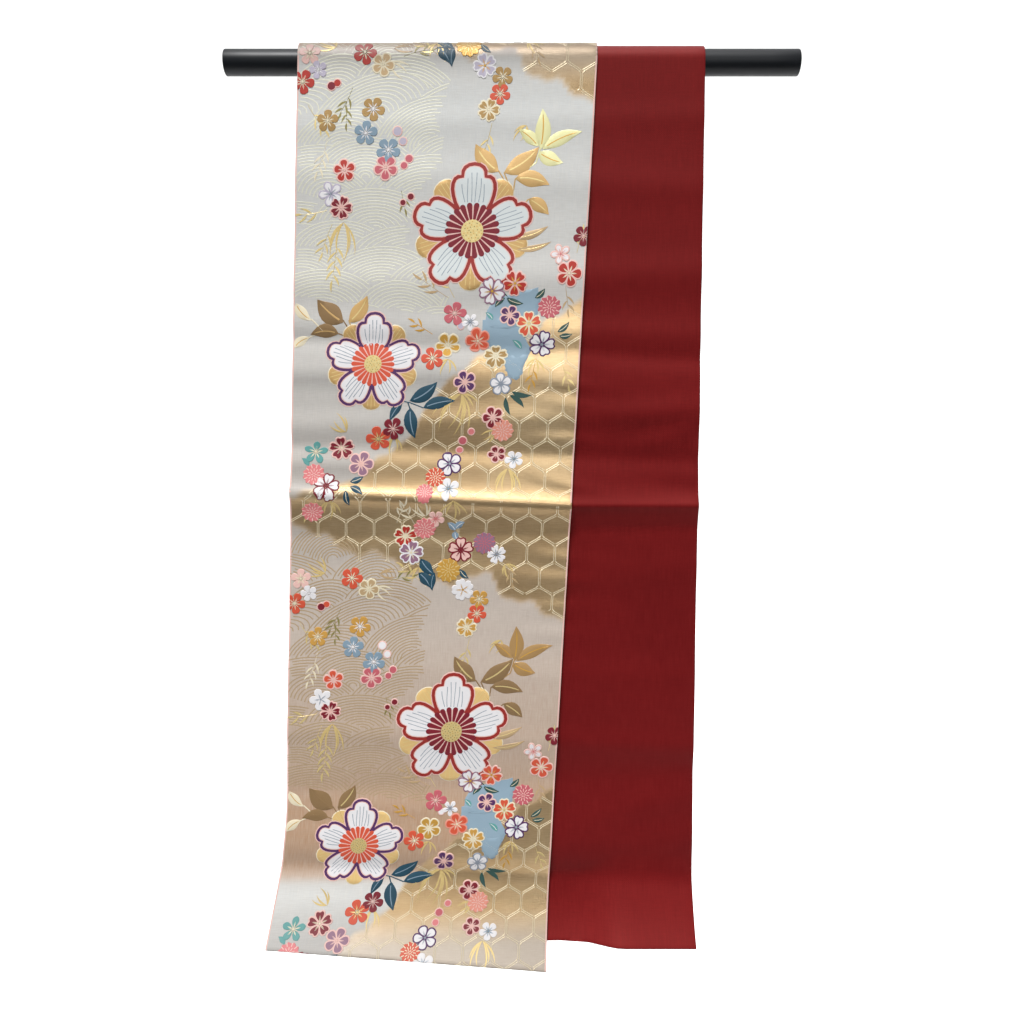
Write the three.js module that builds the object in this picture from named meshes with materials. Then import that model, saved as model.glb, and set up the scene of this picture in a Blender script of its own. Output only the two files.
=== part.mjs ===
// Double-sided woven obi sash, folded in half along its length and hung over a round rod.
// Millimetres, +Z up, origin on the rod's axis at the middle of its length.
// X runs along the rod, -Y is the side that the front falls hang on.
// The sash is one long strip. Its outer half lies over its inner half, and a half-fold joins
// them at the bottom of the rear. Each half has a patterned face cloth and a plain reverse cloth.
import * as THREE from 'three';

// Rod
const ROD_RADIUS = 13.5;
const ROD_LENGTH = 602;
const ROD_CHAMFER = 1;
const ROD_SIDES = 48;

// Strip and its two cloths
const SASH_WIDTH = 310;
const CLOTH = 1.0;
const SEAM = 0.3;
const REST_GAP = 0.6;
const HALF_THICKNESS = CLOTH + SEAM / 2;
const COLUMNS = 4;

// Radii of the middle of each half where it bends over the rod
const INNER_RADIUS = ROD_RADIUS + SEAM + HALF_THICKNESS;
const OUTER_RADIUS = INNER_RADIUS + 2 * HALF_THICKNESS + REST_GAP;
const STACK_RADIUS = (INNER_RADIUS + OUTER_RADIUS) / 2;
const STAND_OFF = 2.5;
const STAND_OFF_DEPTH = 120;

// Where each half crosses the rod, and how far it drifts sideways per millimetre of fall
const OUTER_CENTRE = -66.6;
const OUTER_SLANT = -0.0489;
const INNER_CENTRE = 45.4;
const INNER_SLANT = 0.0122;
const FOLD_CENTRE = 8;

// Front falls, measured down from the rod's axis
const OUTER_HEM_DEPTH = 1006;
const OUTER_HEM_TILT = 0.0887;
const INNER_HEM_DEPTH = 978;
const CREASE_DEPTH = 467;
const CREASE_TILT = 0.047;
const CREASE_HEIGHT = 7;
const CREASE_REACH = 25;
const CREASE_SOFTNESS = 3;
const CREASE_LEVEL_X = 65;
const FLARE_DEPTH = 905;
const FLARE_REACH = 102;
const FLARE_FORWARD = 45;
const FLARE_POWER = 1.8;
const FLARE_EDGE_X = 35;
const INNER_FLARE_LIFT = 25;
const INNER_FLARE_X = 70;
const INNER_FLARE_BLEND = 60;

// Broad swells of the hanging cloth: depth, height, half width
const FRONT_SWELLS = [[335, 2.5, 32], [700, 3, 60], [868, 3.5, 36]];
const REAR_SWELLS = [[210, 3, 50], [740, 4, 60]];
const REAR_CREASE_HEIGHT = 5;

// Half-fold at the bottom of the rear
const REAR_DEPTH = 970;
const FOLD_RADIUS = 6.5;
const FOLD_OPENING_DEPTH = 60;

const ROD_STEPS = 16;
const FOLD_STEPS = 10;

function smooth(value) {
  const t = Math.min(Math.max(value, 0), 1);
  return t * t * (3 - 2 * t);
}

function swell([depth, height, halfWidth], at) {
  return height * Math.exp(-(((at - depth) / halfWidth) ** 2));
}

// A soft-tipped ridge, as a sharp storage fold leaves when the cloth hangs open again.
function crease(distance, height) {
  const reach = Math.hypot(distance, CREASE_SOFTNESS) - CREASE_SOFTNESS;
  return height * Math.exp(-reach / CREASE_REACH);
}

function creaseDepth(x) {
  return CREASE_DEPTH - CREASE_TILT * Math.max(0, CREASE_LEVEL_X - x);
}

// The flare starts along a line that follows the hems: slanting on the outer half, and a
// little higher on the inner half that shows beside it.
function flareDepth(x) {
  const beside = smooth((x - INNER_FLARE_X) / INNER_FLARE_BLEND);
  const slant = OUTER_HEM_TILT * Math.max(0, FLARE_EDGE_X - x);
  return FLARE_DEPTH - slant - INNER_FLARE_LIFT * beside;
}

function frontWave(x, depth) {
  const flare = Math.max(0, depth - flareDepth(x)) / FLARE_REACH;
  const swells = FRONT_SWELLS.reduce((sum, each) => sum + swell(each, depth), 0);
  const ridge = crease(depth - creaseDepth(x), CREASE_HEIGHT);
  return swells + ridge + FLARE_FORWARD * flare ** FLARE_POWER;
}

function rearWave(x, depth) {
  const swells = REAR_SWELLS.reduce((sum, each) => sum + swell(each, depth), 0);
  return swells + crease(depth - CREASE_DEPTH, REAR_CREASE_HEIGHT);
}

// A point of a hanging fall. side is -1 at the front and 1 at the rear, and offset is measured
// from the middle of the four cloths, along their normal.
function fallPoint(side, x, depth, offset) {
  const wave = side < 0 ? frontWave : rearWave;
  const out = STACK_RADIUS + wave(x, depth);
  const slope = (wave(x, depth + 0.5) - wave(x, depth - 0.5));
  const along = offset / Math.hypot(1, slope);
  return [x, side * (out + along), -depth + along * slope];
}

function rodPoint(x, angle, radius) {
  return [x, -radius * Math.cos(angle), radius * Math.sin(angle)];
}

function foldPoint(x, angle, radius) {
  const y = STACK_RADIUS + radius * Math.cos(angle);
  return [x, y, -REAR_DEPTH - radius * Math.sin(angle)];
}

// A closed wall between two surfaces, given on a grid of rows along the strip and columns
// across it. surface(row, column, side) has side 1 on the outward surface and 0 on the inward.
function wallGeometry(rows, surface) {
  const columns = COLUMNS + 1;
  const positions = [];
  const triangles = [];
  for (const side of [1, 0]) {
    for (let row = 0; row < rows; row += 1) {
      for (let column = 0; column < columns; column += 1) {
        positions.push(...surface(row, column / COLUMNS, side));
      }
    }
  }
  const at = (row, column, side) => ((1 - side) * rows + row) * columns + column;
  const quad = (a, b, c, d) => triangles.push(a, b, c, a, c, d);
  for (let row = 0; row < rows - 1; row += 1) {
    for (let column = 0; column < COLUMNS; column += 1) {
      const [r, c] = [row + 1, column + 1];
      quad(at(row, column, 1), at(row, c, 1), at(r, c, 1), at(r, column, 1));
      quad(at(row, column, 0), at(r, column, 0), at(r, c, 0), at(row, c, 0));
    }
    quad(at(row, 0, 0), at(row, 0, 1), at(row + 1, 0, 1), at(row + 1, 0, 0));
    quad(at(row, COLUMNS, 1), at(row, COLUMNS, 0), at(row + 1, COLUMNS, 0), at(row + 1, COLUMNS, 1));
  }
  const last = rows - 1;
  for (let column = 0; column < COLUMNS; column += 1) {
    quad(at(0, column, 0), at(0, column + 1, 0), at(0, column + 1, 1), at(0, column, 1));
    quad(at(last, column, 1), at(last, column + 1, 1), at(last, column + 1, 0), at(last, column, 0));
  }
  const geometry = new THREE.BufferGeometry();
  geometry.setAttribute('position', new THREE.Float32BufferAttribute(positions, 3));
  geometry.setIndex(triangles);
  geometry.computeVertexNormals();
  return geometry;
}

// Stops along a fall, each with the number of equal steps that lead up to it.
function stations(start, stops) {
  const found = [start];
  let from = start;
  for (const [stop, steps] of stops) {
    for (let step = 1; step <= steps; step += 1) {
      found.push(from + ((stop - from) * step) / steps);
    }
    from = stop;
  }
  return found;
}

function frontStations(half) {
  return stations(SEAM / 2, [
    [STAND_OFF_DEPTH, 3],
    [CREASE_DEPTH - 45, 8],
    [CREASE_DEPTH - 18, 1],
    [CREASE_DEPTH, 1],
    [CREASE_DEPTH + 18, 1],
    [CREASE_DEPTH + 45, 1],
    [half.flareDepth, 10],
    [half.hemDepth, 5],
  ]).reverse();
}

function rearStations() {
  return stations(SEAM / 2, [
    [STAND_OFF_DEPTH, 3],
    [CREASE_DEPTH - 45, 7],
    [CREASE_DEPTH, 2],
    [CREASE_DEPTH + 45, 2],
    [REAR_DEPTH - FOLD_OPENING_DEPTH, 9],
    [REAR_DEPTH - SEAM / 2, 4],
  ]);
}

// The offset of a cloth's outward or inward surface from the middle of its half.
function clothOffset(isOutward, side) {
  const near = isOutward ? SEAM / 2 : -HALF_THICKNESS;
  return near + side * CLOTH;
}

// How far the rows of the outer front fall tilt, from level at the rod to the slanting hem.
function outerRowTilt(depth) {
  if (depth < CREASE_DEPTH) {
    return (CREASE_TILT * depth) / CREASE_DEPTH;
  }
  const below = (depth - CREASE_DEPTH) / (OUTER_HEM_DEPTH - CREASE_DEPTH);
  return CREASE_TILT + (OUTER_HEM_TILT - CREASE_TILT) * below;
}

const OUTER = {
  centre: OUTER_CENTRE,
  slant: OUTER_SLANT,
  radius: OUTER_RADIUS,
  outward: 1,
  hemDepth: OUTER_HEM_DEPTH,
  flareDepth: FLARE_DEPTH,
  rowTilt: outerRowTilt,
};

const INNER = {
  centre: INNER_CENTRE,
  slant: INNER_SLANT,
  radius: INNER_RADIUS,
  outward: -1,
  hemDepth: INNER_HEM_DEPTH,
  flareDepth: FLARE_DEPTH - INNER_FLARE_LIFT,
  rowTilt: () => 0,
};

function frontFall(half, isOutward) {
  const rows = frontStations(half);
  return wallGeometry(rows.length, (row, across, side) => {
    const depth = rows[row] - half.rowTilt(rows[row]) * (1 - across) * SASH_WIDTH;
    const x = half.centre + half.slant * depth + (across - 0.5) * SASH_WIDTH;
    const standOff = half.outward > 0 ? STAND_OFF * smooth(depth / STAND_OFF_DEPTH) : 0;
    const offset = half.radius - STACK_RADIUS + standOff + clothOffset(isOutward, side);
    return fallPoint(-1, x, depth, offset);
  });
}

function crown(half, isOutward) {
  const trim = SEAM / 2 / half.radius;
  return wallGeometry(ROD_STEPS + 1, (row, across, side) => {
    const angle = trim + ((Math.PI - 2 * trim) * row) / ROD_STEPS;
    const x = half.centre + (across - 0.5) * SASH_WIDTH;
    return rodPoint(x, angle, half.radius + clothOffset(isOutward, side));
  });
}

// The rear falls drift until both halves share the half-fold's centre.
function rearCentre(half, depth) {
  const straight = half.centre - half.slant * depth;
  const missing = FOLD_CENTRE - (half.centre - half.slant * REAR_DEPTH);
  return straight + missing * (depth / REAR_DEPTH) ** 2;
}

function rearFall(half, isOutward) {
  const rows = rearStations();
  const path = half.outward > 0 ? rows : rows.reverse();
  const opening = FOLD_RADIUS - (OUTER_RADIUS - STACK_RADIUS);
  return wallGeometry(path.length, (row, across, side) => {
    const depth = path[row];
    const x = rearCentre(half, depth) + (across - 0.5) * SASH_WIDTH;
    const fromFold = (depth - REAR_DEPTH + FOLD_OPENING_DEPTH) / FOLD_OPENING_DEPTH;
    const bulge = half.outward * opening * smooth(fromFold);
    const wall = clothOffset(isOutward, side);
    const offset = half.radius - STACK_RADIUS + bulge + half.outward * wall;
    return fallPoint(1, x, depth, offset);
  });
}

function halfFold(isOutward) {
  const trim = SEAM / 2 / FOLD_RADIUS;
  return wallGeometry(FOLD_STEPS + 1, (row, across, side) => {
    const angle = trim + ((Math.PI - 2 * trim) * row) / FOLD_STEPS;
    const x = FOLD_CENTRE + (across - 0.5) * SASH_WIDTH;
    return foldPoint(x, angle, FOLD_RADIUS + clothOffset(isOutward, side));
  });
}

function rodGeometry() {
  const end = ROD_LENGTH / 2;
  const profile = [
    [0, -end],
    [ROD_RADIUS - ROD_CHAMFER, -end],
    [ROD_RADIUS, -end + ROD_CHAMFER],
    [ROD_RADIUS, end - ROD_CHAMFER],
    [ROD_RADIUS - ROD_CHAMFER, end],
    [0, end],
  ].map(([radius, along]) => new THREE.Vector2(radius, along));
  return new THREE.LatheGeometry(profile, ROD_SIDES);
}

function faceCloth() {
  return new THREE.MeshStandardMaterial({ color: 0xc4b08e, roughness: 0.45, metalness: 0.15 });
}

function reverseCloth() {
  return new THREE.MeshStandardMaterial({ color: 0x731b1e, roughness: 0.6, metalness: 0 });
}

function rodLacquer() {
  return new THREE.MeshStandardMaterial({ color: 0x0a1018, roughness: 0.25, metalness: 0 });
}

const sash = new THREE.Group();

function addPiece(name, geometry, material) {
  const piece = new THREE.Mesh(geometry, material);
  piece.name = name;
  sash.add(piece);
  return piece;
}

addPiece('rod', rodGeometry(), rodLacquer()).rotation.z = -Math.PI / 2;

// The outer half shows its face outward, and the inner half shows its reverse outward.
addPiece('outer_front_face', frontFall(OUTER, true), faceCloth());
addPiece('outer_front_reverse', frontFall(OUTER, false), reverseCloth());
addPiece('outer_crown_face', crown(OUTER, true), faceCloth());
addPiece('outer_crown_reverse', crown(OUTER, false), reverseCloth());
addPiece('outer_rear_face', rearFall(OUTER, true), faceCloth());
addPiece('outer_rear_reverse', rearFall(OUTER, false), reverseCloth());
addPiece('half_fold_face', halfFold(true), faceCloth());
addPiece('half_fold_reverse', halfFold(false), reverseCloth());
addPiece('inner_rear_face', rearFall(INNER, true), faceCloth());
addPiece('inner_rear_reverse', rearFall(INNER, false), reverseCloth());
addPiece('inner_crown_reverse', crown(INNER, true), reverseCloth());
addPiece('inner_crown_face', crown(INNER, false), faceCloth());
addPiece('inner_front_reverse', frontFall(INNER, true), reverseCloth());
addPiece('inner_front_face', frontFall(INNER, false), faceCloth());

export default sash;
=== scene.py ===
import math

import bpy
import numpy as np
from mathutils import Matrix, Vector


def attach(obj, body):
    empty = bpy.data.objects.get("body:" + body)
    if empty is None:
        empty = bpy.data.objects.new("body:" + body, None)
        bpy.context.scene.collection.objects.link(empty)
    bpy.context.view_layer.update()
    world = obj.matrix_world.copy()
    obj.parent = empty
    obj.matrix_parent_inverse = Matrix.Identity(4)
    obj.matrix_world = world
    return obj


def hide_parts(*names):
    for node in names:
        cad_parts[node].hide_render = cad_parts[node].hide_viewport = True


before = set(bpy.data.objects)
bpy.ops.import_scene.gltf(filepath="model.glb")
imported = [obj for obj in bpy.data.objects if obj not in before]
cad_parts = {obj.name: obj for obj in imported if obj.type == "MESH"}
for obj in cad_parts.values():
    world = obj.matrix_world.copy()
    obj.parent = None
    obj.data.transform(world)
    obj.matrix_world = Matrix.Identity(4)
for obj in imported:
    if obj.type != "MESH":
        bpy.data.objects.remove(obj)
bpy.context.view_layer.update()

# Sizes in millimetres, as the CAD model has them. MM turns them into metres.
MM = 0.001
ROD_RADIUS = 13.5
ROD_LENGTH = 602.0
WIDTH = 310.0
SEAM = 0.3
CLOTH = 1.0
HALF_THICKNESS = CLOTH + SEAM / 2
REST_GAP = 0.6
INNER_RADIUS = ROD_RADIUS + SEAM + HALF_THICKNESS
OUTER_RADIUS = INNER_RADIUS + 2 * HALF_THICKNESS + REST_GAP
STACK_RADIUS = (INNER_RADIUS + OUTER_RADIUS) / 2
STAND_OFF, STAND_OFF_DEPTH = 2.5, 120.0
OUTER_CENTRE, OUTER_SLANT = -66.6, -0.0489
INNER_CENTRE, INNER_SLANT = 45.4, 0.0122
FOLD_CENTRE, FOLD_RADIUS, FOLD_OPENING = 8.0, 6.5, 60.0
OUTER_HEM, OUTER_HEM_TILT, INNER_HEM = 1006.0, 0.0887, 978.0
CREASE_DEPTH, CREASE_TILT, CREASE_LEVEL_X = 467.0, 0.047, 65.0
CREASE_HEIGHT, CREASE_REACH, CREASE_SOFTNESS = 7.0, 25.0, 3.0
PRESS_HEIGHT, PRESS_REACH, PRESS_SOFTNESS = 3.0, 10.0, 1.2
FLARE_DEPTH, FLARE_REACH, FLARE_FORWARD, FLARE_POWER = 905.0, 102.0, 45.0, 1.8
FLARE_EDGE_X, INNER_FLARE_LIFT, INNER_FLARE_X, INNER_FLARE_BLEND = 35.0, 25.0, 70.0, 60.0
HEM_SPREAD, HEM_SPREAD_RISE, HEM_SPREAD_REACH = 14.0, 85.0, 190.0
REAR_DEPTH, REAR_CREASE_HEIGHT = 970.0, 5.0
FOLD_FADE = 60.0
DEEPEST = 1060.0


def rows_of(text):
    """A chart's rows, parted by semicolons: a word stays a word, a dash is None, the rest are numbers."""

    def cell(word):
        if word[0].isalpha():
            return word
        return None if word == "-" else float(word)

    return [[cell(word) for word in row.split()] for row in text.split(";")]


# Broad swells and finer folds of the hanging cloth: depth, tilt across, height and half width,
# then, for a fold that doesn't run right across, the place where it is strongest and its reach.
FRONT_FOLDS = rows_of("""
    335 0 2.5 32; 700 0 3 60; 868 0 3.5 36; 62 -0.03 1 14; 122 0.03 1.5 18; 222 -0.03 2.4 20;
    276 0.03 1.6 14; 299 0.05 -1.5 10; 372 -0.03 2.2 14; 411 0.04 -2 12; 300 0.08 0.9 8 70 35;
    326 0.14 1.2 7 66 34; 349 0.1 1.2 8 62 34; 391 0.06 1.2 7 56 34; 430 0.22 1.3 8 58 34;
    520 0.12 1.2 8 52 34; 549 0.08 1.4 9 50 36; 583 0.03 1.1 8 48 34; 612 0.05 0.9 8 46 30;
    498 -0.02 -1 9; 548 -0.04 1.4 20; 640 0.05 0.9 16 -160 110; 378 -0.1 1.6 16 165 60;
    420 0.16 -1.8 14 190 50; 443 -0.3 1.6 12 178 40; 660 0.02 0.8 15; 740 0.05 1.6 15; 790 -0.05 -1.3 18;
    160 0.1 0.9 20 -150 90; 235 -0.12 0.8 16 -120 90; 850 -0.18 1.6 18 150 60; 905 0.04 -1.6 14;
    830 0.06 1 14 -120 110
""")
REAR_FOLDS = rows_of("""
    210 0 3 50; 740 0 4 60; 345 0.05 1.4 16; 560 -0.04 1.2 24; 640 0.08 1 18 60 90;
    120 0.03 0.8 22 -80 120; 850 -0.06 1.4 26 -30 120; 420 -0.07 1 12 90 60
""")

# Distances along the strip, measured from the crown: positive down the front of the outer half.
OUTER_QUARTER = math.pi / 2 * OUTER_RADIUS
CHART_SHIFT = OUTER_QUARTER - OUTER_RADIUS - HALF_THICKNESS


def smooth(value):
    t = np.clip(value, 0.0, 1.0)
    return t * t * (3 - 2 * t)


def crease(distance, height, reach=CREASE_REACH, softness=CREASE_SOFTNESS):
    """A ridge with a narrow rounded top and long sides."""
    away = np.hypot(distance, softness) - softness
    return height * np.exp(-away / reach)


def folds(table, x, depth):
    total = 0.0
    for at, tilt, height, half_width, *place in table:
        one = height * np.exp(-(((depth - at - tilt * x) / half_width) ** 2))
        if place:
            one = one * np.exp(-(((x - place[0]) / place[1]) ** 2))
        total = total + one
    return total * smooth(depth / FOLD_FADE)


def front_wave(x, depth):
    ridge_depth = CREASE_DEPTH - CREASE_TILT * np.maximum(0, CREASE_LEVEL_X - x)
    beside = smooth((x - INNER_FLARE_X) / INNER_FLARE_BLEND)
    slant = OUTER_HEM_TILT * np.maximum(0, FLARE_EDGE_X - x)
    flare_depth = FLARE_DEPTH - slant - INNER_FLARE_LIFT * beside
    flare = np.maximum(0, depth - flare_depth) / FLARE_REACH
    away = depth - ridge_depth
    ridge = crease(away, CREASE_HEIGHT) + crease(away, PRESS_HEIGHT, PRESS_REACH, PRESS_SOFTNESS)
    return folds(FRONT_FOLDS, x, depth) + ridge + FLARE_FORWARD * flare**FLARE_POWER


def rear_wave(x, depth):
    return folds(REAR_FOLDS, x, depth) + crease(depth - CREASE_DEPTH, REAR_CREASE_HEIGHT)


def fall_point(side, x, depth, offset):
    """A point of a hanging fall, offset along the cloth's normal. side is -1 in front, 1 behind."""
    wave = front_wave if side < 0 else rear_wave
    slope = wave(x, depth + 0.5) - wave(x, depth - 0.5)
    along = offset / np.hypot(1, slope)
    return np.stack([x, side * (STACK_RADIUS + wave(x, depth) + along), -depth + along * slope], -1)


def rear_centre(centre, slant, depth):
    missing = FOLD_CENTRE - (centre - slant * REAR_DEPTH)
    return centre - slant * depth + missing * (depth / REAR_DEPTH) ** 2


# Each zone gives the point for a local distance along the strip, a place across it in
# millimetres from its left edge, and a height over the strip's middle towards its face.
def outer_front(depth, u, height):
    x = OUTER_CENTRE + OUTER_SLANT * depth + u - WIDTH / 2
    spread = HEM_SPREAD * smooth((depth - FLARE_DEPTH + HEM_SPREAD_RISE) / HEM_SPREAD_REACH)
    x = x - spread * (1 - u / WIDTH)
    stand_off = STAND_OFF * smooth(depth / STAND_OFF_DEPTH)
    return fall_point(-1, x, depth, OUTER_RADIUS - STACK_RADIUS + stand_off + height)


def inner_front(depth, u, height):
    x = INNER_CENTRE + INNER_SLANT * depth + u - WIDTH / 2
    return fall_point(-1, x, depth, INNER_RADIUS - STACK_RADIUS - height)


def over_rod(centre, radius, angle, u):
    x = centre + u - WIDTH / 2 + 0 * angle
    return np.stack([x, -radius * np.cos(angle), radius * np.sin(angle)], -1)


def outer_crown(arc, u, height):
    return over_rod(OUTER_CENTRE, OUTER_RADIUS + height, arc / OUTER_RADIUS, u)


def inner_crown(arc, u, height):
    return over_rod(INNER_CENTRE, INNER_RADIUS - height, math.pi - arc / INNER_RADIUS, u)


def fold_opening(depth):
    opening = FOLD_RADIUS - (OUTER_RADIUS - STACK_RADIUS)
    return opening * smooth((depth - REAR_DEPTH + FOLD_OPENING) / FOLD_OPENING)


def outer_rear(depth, u, height):
    x = rear_centre(OUTER_CENTRE, OUTER_SLANT, depth) + u - WIDTH / 2
    offset = OUTER_RADIUS - STACK_RADIUS + fold_opening(depth) + height
    return fall_point(1, x, depth, offset)


def inner_rear(depth, u, height):
    x = rear_centre(INNER_CENTRE, INNER_SLANT, depth) + u - WIDTH / 2
    offset = INNER_RADIUS - STACK_RADIUS - fold_opening(depth) - height
    return fall_point(1, x, depth, offset)


def half_fold(arc, u, height):
    angle = arc / FOLD_RADIUS
    radius = FOLD_RADIUS + height
    y = STACK_RADIUS + radius * np.cos(angle)
    x = FOLD_CENTRE + u - WIDTH / 2 + 0 * angle
    return np.stack([x, y, -REAR_DEPTH - radius * np.sin(angle)], -1)


def arc_table(wave, deepest):
    """Depths and the cloth's length down to each of them."""
    depth = np.linspace(0, deepest, 2200)
    out = wave(np.full_like(depth, 0.0), depth)
    steps = np.hypot(np.diff(depth), np.diff(out))
    return depth, np.concatenate([[0], np.cumsum(steps)])


FRONT_DEPTHS, FRONT_LENGTHS = arc_table(front_wave, DEEPEST)
REAR_DEPTHS, REAR_LENGTHS = arc_table(rear_wave, REAR_DEPTH)
REAR_LENGTH = REAR_LENGTHS[-1]
FOLD_LENGTH = math.pi * FOLD_RADIUS
REAR_START = -OUTER_QUARTER
FOLD_START = REAR_START - REAR_LENGTH
INNER_START = FOLD_START - FOLD_LENGTH
INNER_CROWN_START = INNER_START - REAR_LENGTH
INNER_FRONT_START = INNER_CROWN_START - math.pi * INNER_RADIUS


def front_length(depth):
    return np.interp(depth, FRONT_DEPTHS, FRONT_LENGTHS)


def rear_length(depth):
    return np.interp(depth, REAR_DEPTHS, REAR_LENGTHS)


def front_depth(length):
    return np.interp(length, FRONT_LENGTHS, FRONT_DEPTHS)


def rear_depth(length):
    return np.interp(length, REAR_LENGTHS, REAR_DEPTHS)


# Zones from the outer hem to the inner one: where each ends along the strip, and its local distance there
ZONES = (
    (outer_front, OUTER_QUARTER, lambda s: front_depth(s - OUTER_QUARTER)),
    (outer_crown, REAR_START, lambda s: OUTER_QUARTER - s),
    (outer_rear, FOLD_START, lambda s: rear_depth(REAR_START - s)),
    (half_fold, INNER_START, lambda s: FOLD_START - s),
    (inner_rear, INNER_CROWN_START, lambda s: rear_depth(s - INNER_CROWN_START)),
    (inner_crown, INNER_FRONT_START, lambda s: INNER_CROWN_START - s),
    (inner_front, -np.inf, lambda s: front_depth(INNER_FRONT_START - s)),
)


def strip_point(s, u, height):
    """The place of a strip coordinate, for arrays that may cross from one zone into the next."""
    out = np.zeros((len(s), 3))
    left = np.ones(len(s), bool)
    for zone, end, local in ZONES:
        here = left & (s > end)
        left &= ~here
        if here.any():
            out[here] = zone(local(s[here]), u[here], height[here])
    return out


# Materials
def linear(rgb):
    """A colour from 0 to 255 per channel, as Blender's linear numbers."""
    parts = [c / 255 for c in rgb]
    return tuple(p / 12.92 if p <= 0.04045 else ((p + 0.055) / 1.055) ** 2.4 for p in parts) + (1.0,)


PAINTED_SHADE_BLACK = (0.0, 0.0, 0.0, 1.0)


class Nodes:
    """A material's node tree, with short ways to add a node and join it up."""

    def __init__(self, name, roughness=0.5, metallic=0.0, **sockets):
        self.material = bpy.data.materials.new(name)
        self.material.use_nodes = True
        self.tree = self.material.node_tree
        self.shader = self.tree.nodes["Principled BSDF"]
        self.shader.inputs["Roughness"].default_value = roughness
        self.shader.inputs["Metallic"].default_value = metallic
        for socket, value in sockets.items():
            self.shader.inputs[socket.replace("_", " ")].default_value = value

    def add(self, kind, values=None, **settings):
        node = self.tree.nodes.new(kind)
        for key, value in settings.items():
            setattr(node, key, value)
        for key, value in (values or {}).items():
            self.put(node.inputs[key], value)
        return node

    def put(self, socket, value):
        if isinstance(value, bpy.types.NodeSocket):
            self.tree.links.new(value, socket)
        else:
            socket.default_value = value

    def strip(self):
        """Coordinates along the cloth in metres: across, along, and 0."""
        return self.add("ShaderNodeAttribute", attribute_name="strip").outputs["Vector"]

    def value_of(self, name):
        return self.add("ShaderNodeAttribute", attribute_name=name).outputs["Fac"]

    def scaled(self, vector, scale):
        return self.add("ShaderNodeVectorMath", {0: vector, 1: scale}, operation="MULTIPLY").outputs[0]

    def noise(self, vector, scale=1.0, detail=3.0):
        values = {"Vector": vector, "Scale": scale, "Detail": detail, "Roughness": 0.55}
        return self.add("ShaderNodeTexNoise", values).outputs["Fac"]

    def ramp(self, factor, low, high, to_low, to_high):
        values = {"Value": factor, "From Min": low, "From Max": high, "To Min": to_low, "To Max": to_high}
        return self.add("ShaderNodeMapRange", values).outputs["Result"]

    def mix(self, factor, first, second):
        node = self.add("ShaderNodeMix", data_type="RGBA")
        for socket, value in zip((node.inputs[0], node.inputs[6], node.inputs[7]), (factor, first, second)):
            self.put(socket, value)
        return node.outputs[2]

    def maths(self, operation, first, second):
        return self.add("ShaderNodeMath", {0: first, 1: second}, operation=operation).outputs[0]

    def bands(self, vector, direction, pitch):
        """Ribs of that pitch in metres, across the named direction."""
        values = {"Vector": vector, "Scale": 2 * math.pi / (20 * pitch), "Distortion": 0.0}
        return self.add("ShaderNodeTexWave", values, bands_direction=direction).outputs["Fac"]

    def bump(self, height, strength, distance):
        values = {"Height": height, "Strength": strength, "Distance": distance}
        normal = self.add("ShaderNodeBump", values).outputs["Normal"]
        self.put(self.shader.inputs["Normal"], normal)

    def set(self, socket, value):
        self.put(self.shader.inputs[socket], value)


def face_silk():
    """Brocade ground: silver and champagne silk, mixed as painted light, and gold-thread satin where the
    attribute gold says, all darkened by painted shade.
    """
    n = Nodes("face_silk", Specular_IOR_Level=0.4)
    strip = n.strip()
    gold, painted_light_tone = n.value_of("gold"), n.value_of("painted_light_tone")
    streak = n.noise(n.scaled(strip, (900.0, 60.0, 1.0)))
    cross = n.noise(n.scaled(strip, (70.0, 1100.0, 1.0)))
    cloud = n.noise(strip, 9.0)
    # The ground's silver-to-champagne mix is painted light: painted shade over the rod and a painted
    # reflection along the fall.
    silk = n.mix(painted_light_tone, linear((183, 185, 184)), linear((168, 132, 102)))
    silk = n.mix(n.ramp(streak, 0.3, 0.7, 0.0, 0.22), silk, linear((214, 208, 196)))
    silk = n.mix(n.ramp(cross, 0.35, 0.65, 0.0, 0.16), silk, linear((140, 128, 112)))
    metal = n.mix(n.ramp(cloud, 0.3, 0.7, 0.0, 1.0), linear((232, 203, 158)), linear((208, 175, 130)))
    metal = n.mix(n.ramp(cross, 0.35, 0.65, 0.0, 0.3), metal, linear((180, 140, 94)))
    ground = n.mix(gold, silk, metal)
    # Painted shade: the base colour is darkened towards black over the rod, in the deeper folds and at the
    # hem.
    n.set("Base Color", n.mix(n.value_of("painted_shade"), PAINTED_SHADE_BLACK, ground))
    n.set("Metallic", n.maths("MULTIPLY", gold, 0.85))
    rough = n.maths("MULTIPLY_ADD", gold, -0.1)
    rough.node.inputs[2].default_value = 0.44
    n.set("Roughness", n.maths("ADD", rough, n.ramp(streak, 0.2, 0.8, -0.06, 0.06)))
    weave = n.maths("ADD", n.bands(strip, "Y", 0.0008), n.maths("MULTIPLY", streak, 1.4))
    n.bump(n.maths("ADD", weave, n.maths("MULTIPLY", cross, 1.4)), 0.35, 0.00012)
    return n.material


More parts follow.
